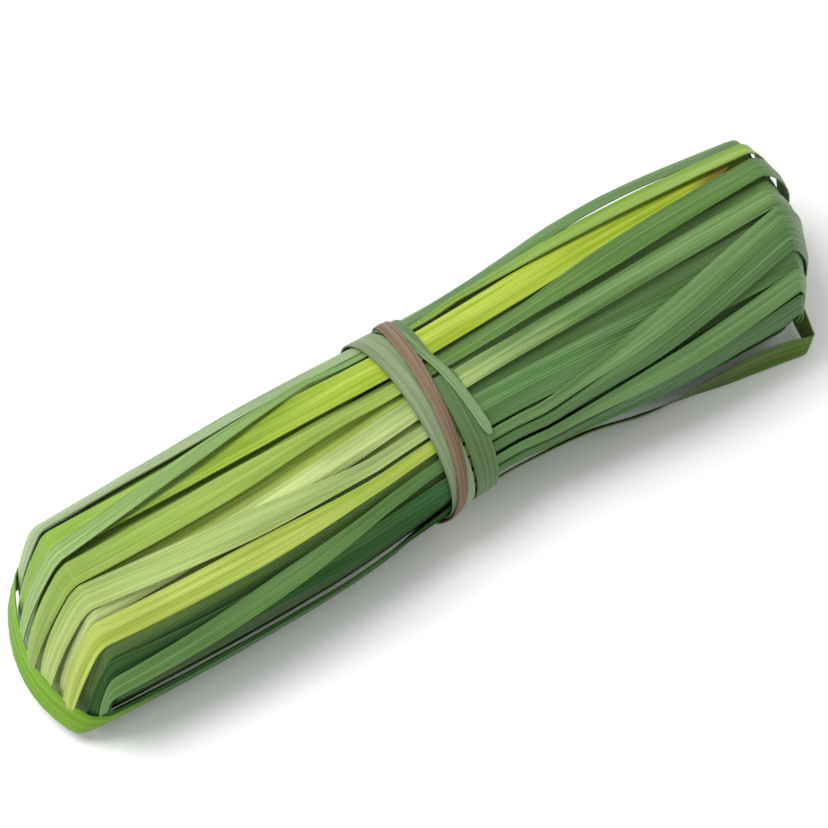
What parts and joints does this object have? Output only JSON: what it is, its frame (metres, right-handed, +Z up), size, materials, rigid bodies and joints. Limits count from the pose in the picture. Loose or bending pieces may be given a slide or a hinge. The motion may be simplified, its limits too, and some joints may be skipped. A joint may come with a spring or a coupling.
{
  "type": "folded bundle of lemongrass leaves",
  "caption": "Long lemongrass leaf blades wound lengthwise into an oblong hank and tied at the waist with strips of leaf, lying on its side.",
  "frame": {"origin": "centre of the bundle's box in X and Y, on the surface that it lies on", "axes": "+X along the bundle towards the end with the loose loop of leaf, +Y towards its far side, +Z up"},
  "size_m": [0.2734, 0.0686, 0.0473],
  "materials": {
    "leaf_lime": "fresh lime-yellow grass blade, satin, with fine lengthwise veins",
    "leaf_pale": "pale underside of a blade, rolled in at its edges, satin",
    "leaf_bright": "fresh bright green blade, satin, with fine lengthwise veins",
    "leaf_green": "mid green blade with a paler rib and fine lengthwise veins, satin",
    "leaf_dark": "dark blue-green blade, satin, with fine lengthwise veins",
    "leaf_inner": "mid green blades inside the bundle, satin",
    "leaf_olive": "dull olive blade, drying at its edges, satin",
    "tie_dry": "dry brown leaf strip, fibrous and matt",
    "tie_pale": "pale grey-green leaf strip, fibrous, matt",
    "tie_green": "pale green leaf strip, fibrous, satin"
  },
  "bodies": {
    "root": {"leaf_arched": "leaf_green", "leaf_crossing_1": "leaf_green", "leaf_crossing_10": "leaf_green", "leaf_crossing_11": "leaf_green", "leaf_crossing_2": "leaf_green", "leaf_crossing_3": "leaf_green", "leaf_crossing_4": "leaf_green", "leaf_crossing_5": "leaf_green", "leaf_crossing_6": "leaf_green", "leaf_crossing_7": "leaf_green", "leaf_crossing_8": "leaf_green", "leaf_crossing_9": "leaf_green", "leaf_end_wrap": "leaf_bright", "leaf_far_left": "leaf_green", "leaf_layer1_1": "leaf_green", "leaf_layer1_2": "leaf_green", "leaf_layer1_3": "leaf_green", "leaf_layer1_4": "leaf_green", "leaf_layer1_5": "leaf_green", "leaf_layer1_6": "leaf_green", "leaf_layer1_7": "leaf_green", "leaf_layer1_8": "leaf_green", "leaf_layer2_1": "leaf_dark", "leaf_layer2_2": "leaf_dark", "leaf_layer2_3": "leaf_dark", "leaf_layer2_4": "leaf_dark", "leaf_layer2_5": "leaf_dark", "leaf_layer2_6": "leaf_dark", "leaf_layer2_7": "leaf_dark", "leaf_layer3_1": "leaf_inner", "leaf_layer3_2": "leaf_inner", "leaf_layer3_3": "leaf_inner", "leaf_layer3_4": "leaf_inner", "leaf_layer3_5": "leaf_inner", "leaf_layer3_6": "leaf_inner", "leaf_layer4_1": "leaf_inner", "leaf_layer4_2": "leaf_inner", "leaf_layer4_3": "leaf_inner", "leaf_layer4_4": "leaf_inner", "leaf_layer4_5": "leaf_inner", "leaf_layer5_1": "leaf_inner", "leaf_layer5_2": "leaf_inner", "leaf_layer5_3": "leaf_inner", "leaf_layer5_4": "leaf_inner", "leaf_layer6_1": "leaf_inner", "leaf_layer6_2": "leaf_inner", "leaf_layer6_3": "leaf_inner", "leaf_lime": "leaf_lime", "leaf_loop": "leaf_olive", "leaf_near_green": "leaf_dark", "leaf_rolled_pale": "leaf_pale", "leaf_wide_dark": "leaf_green", "tie_brown": "tie_dry", "tie_green": "tie_green", "tie_pale": "tie_pale"}
  },
  "joints": []
}
